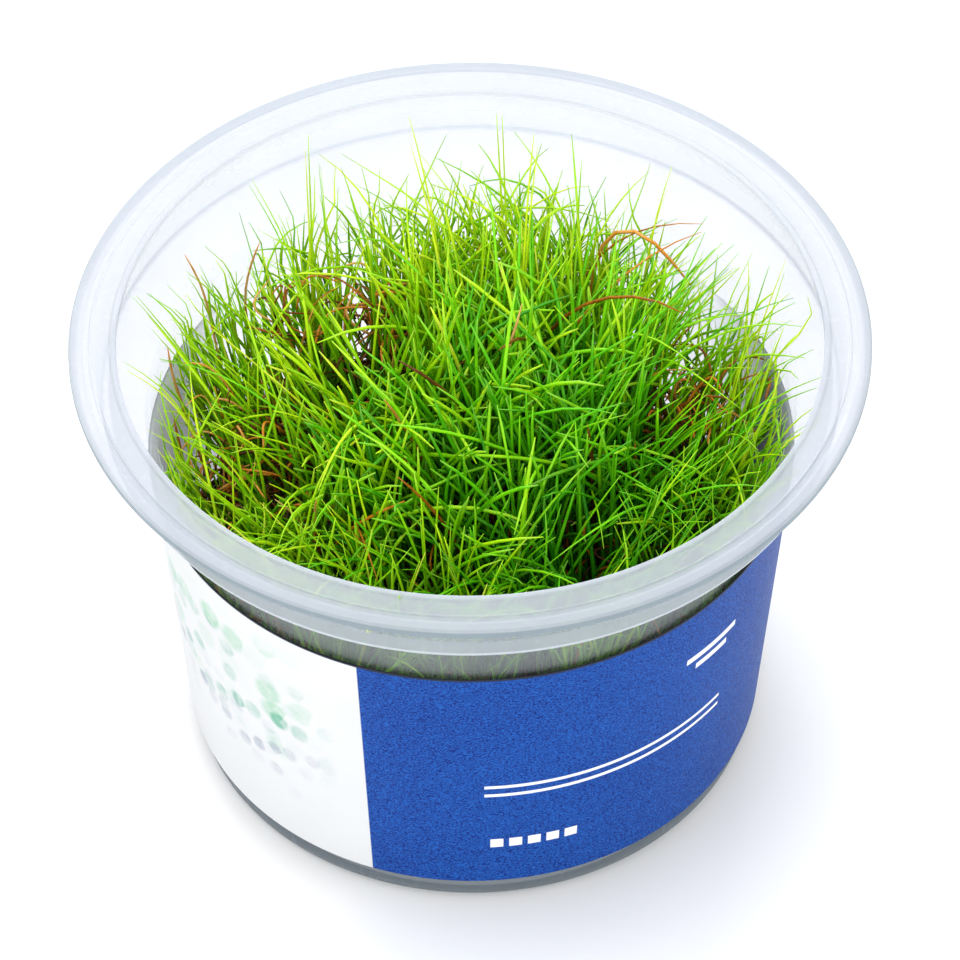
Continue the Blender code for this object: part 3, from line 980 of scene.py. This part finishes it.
@dataclass
class RootMat:
    """The mat of brown roots and old stems that the tufts stand in."""

    fibre_count: int = 2600
    sides: int = 72
    rings: int = 26
    seed: int = 5

    def surface(self) -> bpy.types.Mesh:
        """Return the lumpy mat itself."""
        low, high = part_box("root_mat")
        edge, bottom = high.x, low.z
        chance = np.random.default_rng(self.seed)
        rows = [(0.0, bottom), (edge - 0.3 * MM, bottom), (edge, bottom + 0.5 * MM), (edge, 24.0 * MM)]
        rows += [(edge * (1 - n / self.rings), self.level(edge * (1 - n / self.rings))) for n in range(1, self.rings + 1)]
        mesh = lathe(np.array(rows), self.sides)
        points = np.array([vertex.co for vertex in mesh.vertices])
        turned = np.arctan2(points[:, 1], points[:, 0])
        lumps = np.zeros(len(points))
        for _ in range(14):
            wave = chance.normal(0.0, 420.0, 2)
            lumps += np.sin(points[:, 0] * wave[0] + points[:, 1] * wave[1] + chance.uniform(0, 6.28))
        top = points[:, 2] > 23.9 * MM
        points[top, 2] += lumps[top] * 0.28 * MM
        points[:, 0] -= np.cos(turned) * np.abs(lumps) * 0.06 * MM
        points[:, 1] -= np.sin(turned) * np.abs(lumps) * 0.06 * MM
        mesh.vertices.foreach_set("co", points.ravel().astype(np.float32))
        return mesh

    @staticmethod
    def level(radius: float | np.ndarray) -> float | np.ndarray:
        """Return the mat's height at a distance from the axis."""
        return 24.0 * MM + 4.6 * MM * (1 - (radius / (36.7 * MM)) ** 2)

    def fibres(self) -> StrandBundle:
        """Return the roots and old stems that lie and stand on the mat."""
        chance = np.random.default_rng(self.seed + 1)
        bundle = StrandBundle(sides=4)
        steps = np.linspace(0.0, 1.0, 7)[:, None]
        for _ in range(self.fibre_count):
            reach = 36.0 * MM * math.sqrt(chance.uniform(0.0, 1.0))
            turn = chance.uniform(0.0, 2 * math.pi)
            start = np.array([reach * math.cos(turn), reach * math.sin(turn), self.level(reach) - 0.4 * MM])
            way = chance.uniform(0.0, 2 * math.pi)
            length = chance.uniform(4.0, 13.0) * MM
            rise = abs(chance.normal(0.0, 0.42)) * length
            run = math.sqrt(max(length**2 - rise**2, (0.3 * length) ** 2))
            ahead = np.array([math.cos(way), math.sin(way), 0.0])
            aside = np.array([-math.sin(way), math.cos(way), 0.0])
            curl = chance.normal(0.0, 1.6) * MM
            sag = chance.uniform(0.2, 1.0) * rise
            path = start + ahead * run * steps + aside * curl * np.sin(steps * math.pi * chance.uniform(0.8, 2.2))
            path[:, 2] += (rise * steps + sag * np.sin(steps * math.pi))[:, 0]
            held = np.minimum(1.0, (36.2 * MM) / (np.hypot(path[:, 0], path[:, 1]) + 1e-9))
            path[:, 0] *= held
            path[:, 1] *= held
            floor = self.level(np.hypot(path[:, 0], path[:, 1])) - 0.3 * MM
            path[:, 2] = np.maximum(path[:, 2], floor)
            thick = chance.uniform(0.10, 0.30) * MM
            radii = thick * np.interp(steps[:, 0], (0.0, 0.7, 1.0), (1.0, 0.85, 0.3))
            bundle.add(path, radii, float(np.clip(chance.normal(0.42, 0.24), 0.0, 1.0)))
        return bundle

    def build(self) -> bpy.types.Object:
        """Build the mat with its fibres as one piece."""
        ground = self.surface()
        set_numbers(ground, "tone", np.full(len(ground.vertices), 0.16))
        fibres = self.fibres().mesh("fibres")
        shape = bmesh.new()
        shape.from_mesh(ground)
        shape.from_mesh(fibres)
        mesh = bpy.data.meshes.new("root_tangle")
        shape.to_mesh(mesh)
        shape.free()
        bpy.data.meshes.remove(ground)
        bpy.data.meshes.remove(fibres)
        return add_piece("root_tangle", mesh, [OldRoots().make()], ["root_mat"])


@dataclass(frozen=True)
class Hollow:
    """A gap in the grass: a slanting shaft from its mouth down to the mat, mostly free of blades."""

    mouth: tuple[float, float, float]
    depth: float
    radius: float
    kept: float = 0.12
    thatch: int = 9

    def crossed_by(self, path: np.ndarray) -> bool:
        """Return whether a blade passes through the shaft.

        Args:
            path: rows of x, y and z in metres.

        Returns:
            True where it does.
        """
        start = np.array(self.mouth) * MM
        way = np.array([0.0, 0.707, -0.707])
        ahead = path - start
        along = np.clip(ahead @ way, -4 * MM, self.depth * MM)
        away = np.linalg.norm(ahead - along[:, None] * way, axis=1)
        return bool(np.any(away < self.radius * MM))

    def thatch_start(self, chance: np.random.Generator) -> np.ndarray:
        """Return a random place for old leaves round the shaft's lower end."""
        way = np.array([0.0, 0.707, -0.707])
        down = chance.uniform(0.75, 1.05) * self.depth * MM
        return np.array(self.mouth) * MM + way * down + chance.normal(0.0, 0.5 * self.radius, 3) * MM

    def reaches(self, crown: np.ndarray) -> bool:
        """Return whether the shaft's lower half passes close above a tuft's crown."""
        deep = (self.mouth[1] + 0.5 * self.depth) * MM
        return math.hypot(crown[0] - self.mouth[0] * MM, crown[1] - deep) < (self.radius + 5.0) * MM


@dataclass(frozen=True)
class Stray:
    """A single stem or blade whose line is given."""

    points: tuple[tuple[float, float, float], ...]
    scale: float
    age: float
    tone: float


STRAYS = (
    Stray(((14.0, 22.0, 30.0), (16.5, 27.0, 55.0), (19.9, 26.2, 60.0), (23.5, 23.6, 59.5), (28.4, 20.0, 54.0)), 1.1, 1.0, 0.74),
    Stray(((-30.0, 14.0, 29.0), (-33.4, 19.2, 49.0), (-34.2, 20.0, 55.0), (-36.2, 19.4, 61.0)), 0.72, 1.0, 0.85),
    Stray(((-27.0, 18.0, 29.0), (-29.3, 22.8, 50.0), (-28.1, 21.4, 57.0), (-26.6, 19.6, 63.0)), 0.7, 1.0, 0.85),
    Stray(((-33.0, 6.0, 28.0), (-36.8, 8.6, 44.0), (-38.0, 8.4, 50.0), (-38.3, 7.8, 56.0)), 0.8, 1.0, 0.8),
    Stray(((-34.0, -2.0, 28.0), (-36.6, 0.0, 42.0), (-37.6, 1.0, 50.0)), 0.9, 1.0, 0.5),
    Stray(((-21.5, 13.0, 29.0), (-22.2, 14.4, 46.0), (-21.2, 13.4, 53.0), (-19.8, 12.0, 58.5)), 0.7, 1.0, 0.85),
    Stray(((-10.0, 8.0, 30.0), (-10.6, 9.0, 46.0), (-9.4, 8.0, 56.0)), 0.7, 1.0, 0.9),
    Stray(((-31.0, -20.0, 30.0), (-32.6, -17.0, 42.0), (-30.0, -16.0, 49.0)), 0.9, 1.0, 0.66),
    Stray(((-24.0, -22.0, 29.0), (-27.0, -12.0, 45.0), (-22.0, -12.5, 49.0), (-17.0, -14.0, 49.5)), 0.9, 1.0, 0.72),
    Stray(((-9.0, -33.0, 27.0), (-9.0, -38.5, 56.0), (-8.9, -42.2, 65.6), (-8.7, -45.0, 66.6)), 0.9, 0.0, 0.5),
)


HOLLOWS = (
    Hollow((-12.0, 7.0, 60.0), 25.0, 4.8, 0.14, 9),
    Hollow((-19.0, 2.5, 60.0), 23.0, 3.0, 0.2, 4),
    Hollow((-24.0, -15.3, 60.0), 30.0, 4.6, 0.14, 9),
    Hollow((-31.0, -9.0, 60.0), 22.0, 3.0, 0.25, 4),
    Hollow((26.0, -10.0, 60.0), 26.0, 4.6, 0.14, 8),
    Hollow((32.0, -6.0, 60.0), 18.0, 2.8, 0.3, 4),
    Hollow((-31.0, -21.0, 60.0), 30.0, 2.8, 0.1),
    Hollow((-6.3, -34.6, 60.0), 24.0, 2.6, 0.1, 2),
    Hollow((-24.4, 9.9, 60.0), 17.0, 2.8, 0.25, 4),
    Hollow((4.0, -27.0, 60.0), 30.0, 2.2, 0.15, 1),
    Hollow((14.0, -33.0, 60.0), 24.0, 2.2, 0.15, 1),
)


@dataclass
class GrassTuft:
    """One tuft: the fine blades along its solid's own blades, and the many between them."""

    name: str
    node: bpy.types.Object
    kind: Grass
    chance: np.random.Generator
    blades: int = 64
    sections: int = 13
    mean_radius: float = 0.248 * MM
    old_leaves: int = 16
    strays: list[Stray] = field(default_factory=list)
    dome: tuple[float, float] = (8.0 * MM, -8.0 * MM)
    middle_level: float = 65.0 * MM
    edge_level: float = 56.5 * MM

    def __post_init__(self) -> None:
        """Pick the way that the whole tuft leans, in radians along x and y, outward near the wall."""
        place = self.crown()[:2]
        outward = place * math.radians(11.0) / (36.0 * MM)
        self.drift = outward + self.chance.normal(0.0, math.radians(7.0), 2)

    def main_lines(self) -> list[np.ndarray]:
        """Trace the solid's blades.

        Returns:
            For each blade the middles of its sections, from the crown to the tip.
        """
        shape = bmesh.new()
        shape.from_mesh(self.node.data)
        bmesh.ops.remove_doubles(shape, verts=shape.verts, dist=0.005 * MM)
        shape.verts.ensure_lookup_table()
        floor = min(vertex.co.z for vertex in shape.verts)
        lines = []
        for tip in shape.verts:
            if len(tip.link_edges) != 3 or tip.co.z < floor + 12 * MM:
                continue
            line = [tip.co.copy()]
            seen = {tip}
            ring = [edge.other_vert(tip) for edge in tip.link_edges]
            while len(ring) == 3:
                line.append(sum((vertex.co for vertex in ring), Vector()) / 3)
                seen.update(ring)
                ring = list({e.other_vert(v) for v in ring for e in v.link_edges} - seen)
            lines.append(np.array([tuple(point) for point in reversed(line)]))
        shape.free()
        return [line for line in lines if len(line) >= 4]

    def crown(self) -> np.ndarray:
        """Return the middle of the crown's foot."""
        points = np.array([vertex.co for vertex in self.node.data.vertices])
        base = points[points[:, 2] < points[:, 2].min() + 0.5 * MM]
        return np.array([*base[:, :2].mean(axis=0), base[:, 2].min()])

    def smooth_line(self, line: np.ndarray) -> np.ndarray:
        """Return a line as a smooth curve with this tuft's count of sections."""
        steps = np.concatenate([[0.0], np.cumsum(np.linalg.norm(np.diff(line, axis=0), axis=1))])
        wanted = np.linspace(0.0, steps[-1], 24)
        dense = np.stack([np.interp(wanted, steps, column) for column in line.T], axis=1)
        for _ in range(6):
            dense[1:-1] = (dense[:-2] + 2 * dense[1:-1] + dense[2:]) / 4
        picked = np.linspace(0, 23, self.sections)
        return np.stack([np.interp(picked, range(24), column) for column in dense.T], axis=1)

    def curve(self, guides: np.ndarray) -> np.ndarray:
        """Return points along a cubic curve through its four guides."""
        t = np.linspace(0.0, 1.0, self.sections)[:, None]
        weights = ((1 - t) ** 3, 3 * t * (1 - t) ** 2, 3 * t**2 * (1 - t), t**3)
        return sum(weight * guide for weight, guide in zip(weights, guides))

    def level(self, place: np.ndarray) -> float | np.ndarray:
        """Return the height that full-grown tips reach over a place."""
        away = np.minimum(1.0, np.hypot(place[0] - self.dome[0], place[1] - self.dome[1]) / (44.5 * MM))
        return self.middle_level + (self.edge_level - self.middle_level) * away**1.5

    def free_line(self, crown: np.ndarray) -> np.ndarray:
        """Return the line of one more blade that grows from the crown.

        Args:
            crown: the middle of the crown's foot.

        Returns:
            Rows of x, y and z from root to tip.
        """
        chance = self.chance
        turn = chance.uniform(0.0, 2 * math.pi)
        share = math.sqrt(chance.uniform())
        outward = np.array([math.cos(turn), math.sin(turn)])
        root = crown + np.append(outward * 3.9 * MM * share, 0.0)
        lean = self.drift + outward * math.radians(9.0) * share + chance.normal(0.0, math.radians(8.0), 2)
        limpness = math.radians(chance.choice((18.0, 32.0, 50.0), p=(0.32, 0.42, 0.26)))
        bend = self.drift + chance.normal(0.0, limpness, 2)
        shares = np.linspace(0.0, 1.0, self.sections)[:, None]
        tilts = lean + bend * shares**1.5 + chance.normal(0.0, math.radians(7.0), 2) * np.sin(shares * 2 * math.pi)
        angles = np.linalg.norm(tilts, axis=1, keepdims=True) + 1e-6
        ways = np.hstack([tilts / angles * np.sin(np.minimum(angles, 1.9)), np.cos(np.minimum(angles, 1.9))])
        path = np.vstack([np.zeros(3), np.cumsum((ways[1:] + ways[:-1]) / 2, axis=0)]) / (self.sections - 1)
        middle = root + path[self.sections // 2] * 36.0 * MM
        rise = (self.level(middle) - root[2]) * (0.60 + 0.46 * chance.uniform() ** 1.1)
        path = root + path * min(rise / path[:, 2].max(), 47.0 * MM)
        return self.kinked(path) if chance.uniform() < 0.025 else path

    def kinked(self, path: np.ndarray) -> np.ndarray:
        """Return a blade's line folded over sharply part of the way up."""
        joint = int(self.chance.integers(self.sections // 2, self.sections - 3))
        fold = self.chance.uniform(0.6, 1.5)
        turn = self.chance.uniform(0.0, 2 * math.pi)
        axis = Vector((math.cos(turn), math.sin(turn), 0.0))
        swing = np.array(Matrix.Rotation(fold, 3, axis))
        folded = path.copy()
        folded[joint + 1 :] = path[joint] + (path[joint + 1 :] - path[joint]) @ swing.T
        return folded

    def fallen_place(self, crown: np.ndarray) -> np.ndarray:
        """Return a random place low in the tuft for an old leaf."""
        turn = self.chance.uniform(0.0, 2 * math.pi)
        reach = 5.5 * MM * math.sqrt(self.chance.uniform())
        return crown + np.array([math.cos(turn) * reach, math.sin(turn) * reach, self.chance.uniform(0.0, 13.0) * MM])

    def old_leaf(self, start: np.ndarray) -> np.ndarray:
        """Return the line of a short curled dead leaf that starts at a place among the blades."""
        chance = self.chance
        swing = chance.uniform(0.0, 2 * math.pi)
        way = np.array([math.cos(swing), math.sin(swing), 0.0])
        aside = np.array([-way[1], way[0], 0.0])
        run, rise = chance.uniform(2.0, 8.0) * MM, chance.uniform(-1.0, 6.0) * MM
        steps = np.linspace(0.0, 1.0, self.sections)[:, None]
        path = start + way * run * steps + aside * chance.normal(0.0, 1.2) * MM * np.sin(steps * 4.0)
        path[:, 2] += (rise * steps + chance.uniform(0.5, 2.5) * MM * np.sin(steps * math.pi))[:, 0]
        return path

    def kept_inside(self, path: np.ndarray) -> np.ndarray:
        """Return a blade's line that leans less, and then bends in, where it would go through the wall."""
        heights = np.array([1.6, 2.4, 54.65, 58.05, 65.1, 66.0, 90.0]) * MM
        reaches = np.array([35.1, 35.9, 40.1, 45.4, 44.5, 44.4, 44.4]) * MM
        limit = np.interp(path[:, 2], heights, reaches) - 0.55 * MM - self.chance.uniform(0.0, 0.5) * MM
        least = self.chance.uniform(0.3, 0.8)
        for share in np.linspace(1.0, least, 6):
            pressed = path.copy()
            pressed[:, :2] = path[0, :2] + (path[:, :2] - path[0, :2]) * share
            away = np.hypot(pressed[:, 0], pressed[:, 1])
            if np.all(away <= limit):
                break
        pressed[:, :2] *= np.minimum(1.0, limit / np.maximum(away, 1e-9))[:, None]
        return pressed

    def radii(self, scale: float, fineness: float = 0.0) -> np.ndarray:
        """Return a blade's radius at each section.

        Args:
            scale: how thick the blade is.
            fineness: 0 for an even blade with a short tip and 1 for one that is drawn out to a fine tip.

        Returns:
            The radii from root to tip.
        """
        shares = np.linspace(0.0, 1.0, self.sections)
        even = np.interp(shares, (0.0, 0.15, 0.7, 0.93, 1.0), (1.08, 1.02, 1.0, 0.82, 0.3))
        drawn = np.interp(shares, (0.0, 0.3, 0.6, 0.85, 1.0), (1.0, 0.92, 0.78, 0.5, 0.16))
        return self.mean_radius * scale * (even + (drawn - even) * fineness)

    def plant(self, bundle: StrandBundle, path: np.ndarray, tall: bool) -> None:
        """Add one blade with a size, a tone and an age of its own.

        Args:
            bundle: the strands of this tuft.
            path: the blade's line.
            tall: whether it is one of the tuft's main blades.
        """
        chance = self.chance
        # Blades whose tips reach higher get a lighter green: partly the fresher colour of young blades, partly painted
        # light on the top of the grass.
        reach = (path[-1, 2] - 40.0 * MM) / (26.0 * MM)
        side = float(np.clip((math.hypot(path[-1, 0] - 11 * MM, 0.8 * (path[-1, 1] + 14 * MM)) / MM - 14.0) / 24.0, 0.0, 1.0))
        tone = float(np.clip(chance.normal(0.25 + 0.25 * reach + 0.18 * side, 0.18), 0.0, 1.0))
        age = 1.0 if chance.uniform() < (0.0 if tall else 0.02) else float(chance.uniform(0.0, 0.3))
        fineness = float(np.clip((math.hypot(path[-1, 0], path[-1, 1]) / MM - 22.0) / 12.0 + chance.normal(0.0, 0.3), 0.0, 1.0))
        bundle.add(path, self.radii(chance.uniform(0.64, 0.90) if tall else chance.uniform(0.78, 1.2), fineness), tone, age)

    def build(self) -> bpy.types.Object:
        """Build the tuft's blades as one piece in place of its solid."""
        bundle = StrandBundle()
        lines = [self.smooth_line(line) for line in self.main_lines()]
        for line in lines:
            self.plant(bundle, line, True)
            shift = np.append(self.chance.normal(0.0, 1.3, 2), self.chance.uniform(-3.5, -0.5)) * MM
            grow = np.linspace(0.0, 1.0, self.sections)[:, None]
            self.plant(bundle, self.kept_inside(line + shift * grow), True)
        crown = self.crown()
        extra = 16 if math.hypot(crown[0], crown[1]) > 25 * MM else 0
        for _ in range(self.blades + extra - 2 * len(lines)):
            path = self.kept_inside(self.free_line(crown))
            if any(h.crossed_by(path) and self.chance.uniform() > h.kept for h in HOLLOWS):
                continue
            self.plant(bundle, path, False)
        starts = [self.fallen_place(crown) for _ in range(self.old_leaves)]
        for hollow in (h for h in HOLLOWS if h.reaches(crown)):
            starts += [hollow.thatch_start(self.chance) for _ in range(hollow.thatch)]
        for start in starts:
            path = self.kept_inside(self.old_leaf(start))
            bundle.add(path, self.radii(self.chance.uniform(0.4, 0.8)), float(self.chance.uniform(0.1, 0.95)), 1.0)
        for stray in self.strays:
            bundle.add(self.smooth_line(np.array(stray.points) * MM), self.radii(stray.scale), stray.tone, stray.age)
        mesh = bundle.mesh(self.name)
        # Painted shade: store how much darker each point is painted for lying deep in the grass.
        set_numbers(mesh, "depth", self.painted_shade_depths(mesh))
        return add_piece(self.name, mesh, [SKINS[self.kind]], [self.node.name])

    def painted_shade_depths(self, mesh: bpy.types.Mesh) -> np.ndarray:
        """Return the painted shade of each point, from 0 to 1: more the deeper it lies below the grass's top, and less
        near the wall.

        Args:
            mesh: the tuft's mesh.

        Returns:
            One number for each point.
        """
        points = np.empty(3 * len(mesh.vertices), dtype=np.float32)
        mesh.vertices.foreach_get("co", points)
        x, y, z = points.reshape(-1, 3).T
        below = np.clip((self.level((x, y)) - z - 4.0 * MM) / (17.0 * MM), 0.0, 1.0)
        inner = np.clip((37.0 * MM - np.hypot(x, y)) / (13.0 * MM), 0.0, 1.0)
        return below * (0.25 + 0.75 * inner)


@dataclass
class GrassField:
    """All tufts, each in place of its solid and in the green that the record gives it."""

    seed: int = 41

    def build(self) -> None:
        """Build every tuft."""
        slots = {row["node"]: row["material_slot"] for row in frame["record"]["subparts"]}
        kinds = {kind.slot: kind for kind in Grass}
        tufts = []
        for count, name in enumerate(sorted(n for n in frame["nodes"] if n.startswith("tuft_"))):
            chance = np.random.default_rng(self.seed + count)
            tufts.append(GrassTuft(f"blades_{name[5:]}", frame["nodes"][name], kinds[slots[name]], chance))
        for stray in STRAYS:
            foot = np.array(stray.points[0]) * MM
            nearest = min(tufts, key=lambda tuft: float(np.linalg.norm(tuft.crown() - foot)))
            nearest.strays.append(stray)
        for tuft in tufts:
            tuft.build()


@dataclass
class Studio:
    """A pale seamless floor, a plain pale sky and soft lamps."""

    sky: float = 0.92
    floor_tone: Colour = (0.80, 0.80, 0.802)

    def floor(self) -> None:
        """Lay the floor."""
        mesh = bpy.data.meshes.new("floor")
        reach = 6.0
        mesh.from_pydata([(-reach, -reach, 0.0), (reach, -reach, 0.0), (reach, reach, 0.0), (-reach, reach, 0.0)], [], [(0, 1, 2, 3)])
        sheet = NodeSheet("pale floor")
        grain = sheet.noise(30.0, 2.0)
        colour = sheet.mix(grain, self.floor_tone, tuple(0.99 * c for c in self.floor_tone))
        mesh.materials.append(sheet.finish(sheet.surface(Base_Color=colour, Roughness=0.9)))
        floor = bpy.data.objects.new("floor", mesh)
        bpy.context.scene.collection.objects.link(floor)

    def world(self) -> None:
        """Set the plain sky."""
        world = bpy.data.worlds.new("pale sky")
        world.use_nodes = True
        background = world.node_tree.nodes["Background"]
        background.inputs["Color"].default_value = (0.97, 0.985, 1.0, 1.0)
        background.inputs["Strength"].default_value = self.sky
        bpy.context.scene.world = world

    def lamp(self, name: str, place: tuple[float, float, float], size: float, power: float) -> None:
        """Hang one square lamp that faces the cup.

        Args:
            name: its name.
            place: where it hangs.
            size: its side in metres.
            power: its power in watts.
        """
        light = bpy.data.lights.new(name, "AREA")
        light.shape = "SQUARE"
        light.size = size
        light.energy = power
        lamp = bpy.data.objects.new(name, light)
        lamp.location = place
        lamp.rotation_euler = (Vector((0.0, 0.0, 0.04)) - Vector(place)).to_track_quat("-Z", "Y").to_euler()
        bpy.context.scene.collection.objects.link(lamp)

    def camera(self) -> None:
        """Set the camera where the photo was taken from."""
        distance, rim = 0.700, 0.066
        rise, pitch, yaw, roll = (math.radians(a) for a in (45.13, -1.505, 0.084, 0.64))
        sin, cos = math.sin, math.cos
        place = Vector((0.0, -distance * cos(rise), distance * sin(rise) + rim))
        aim = Matrix(((1, 0, 0), (0, sin(rise), cos(rise)), (0, cos(rise), -sin(rise))))
        turn = Matrix(((cos(yaw), 0, -sin(yaw)), (0, 1, 0), (sin(yaw), 0, cos(yaw))))
        tilt = Matrix(((1, 0, 0), (0, cos(pitch), -sin(pitch)), (0, sin(pitch), cos(pitch))))
        spin = Matrix(((cos(roll), -sin(roll), 0), (sin(roll), cos(roll), 0), (0, 0, 1)))
        look = spin @ tilt @ turn @ aim
        data = bpy.data.cameras.new("camera")
        data.sensor_width = 36.0
        data.lens = 5627.0 * 36.0 / 960.0
        data.clip_start = 0.05
        camera = bpy.data.objects.new("camera", data)
        camera.matrix_world = Matrix.Translation(place) @ Matrix((look[0], look[1], -look[2])).transposed().to_4x4()
        bpy.context.scene.collection.objects.link(camera)
        bpy.context.scene.camera = camera

    def build(self) -> None:
        """Build the floor, the sky, the lamps and the camera."""
        self.floor()
        self.world()
        self.lamp("top lamp", (-0.16, 0.14, 0.95), 0.9, 8.0)
        self.lamp("front lamp", (0.12, -0.8, 0.62), 0.5, 4.0)
        self.lamp("back lamp", (-0.10, 0.9, 0.30), 0.7, 6.0)
        self.lamp("side lamp", (-0.85, -0.35, 0.35), 0.5, 0.9)
        self.camera()
        scene = bpy.context.scene
        scene.view_settings.view_transform = "Standard"
        scene.cycles.max_bounces = 6
        scene.cycles.diffuse_bounces = 2
        scene.cycles.glossy_bounces = 2
        scene.cycles.transmission_bounces = 3
        scene.cycles.transparent_max_bounces = 8


def corners(box: object) -> list[list[float]]:
    """Return a box as plain lists of numbers."""
    return [[float(number) for number in corner] for corner in box]


SKINS: dict[Grass, bpy.types.Material] = {}


def main() -> None:
    """Build the studio and then the part, from the cup inward."""
    logging.basicConfig(level=logging.INFO, format="%(name)s: %(message)s")
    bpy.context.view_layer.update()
    Studio().build()
    SKINS.update({kind: kind.skin().make() for kind in Grass})
    GrowingCup().build()
    WrapLabel().build()
    GelLayer().build()
    RootMat().build()
    GrassField().build()


if __name__ == "__main__":
    main()
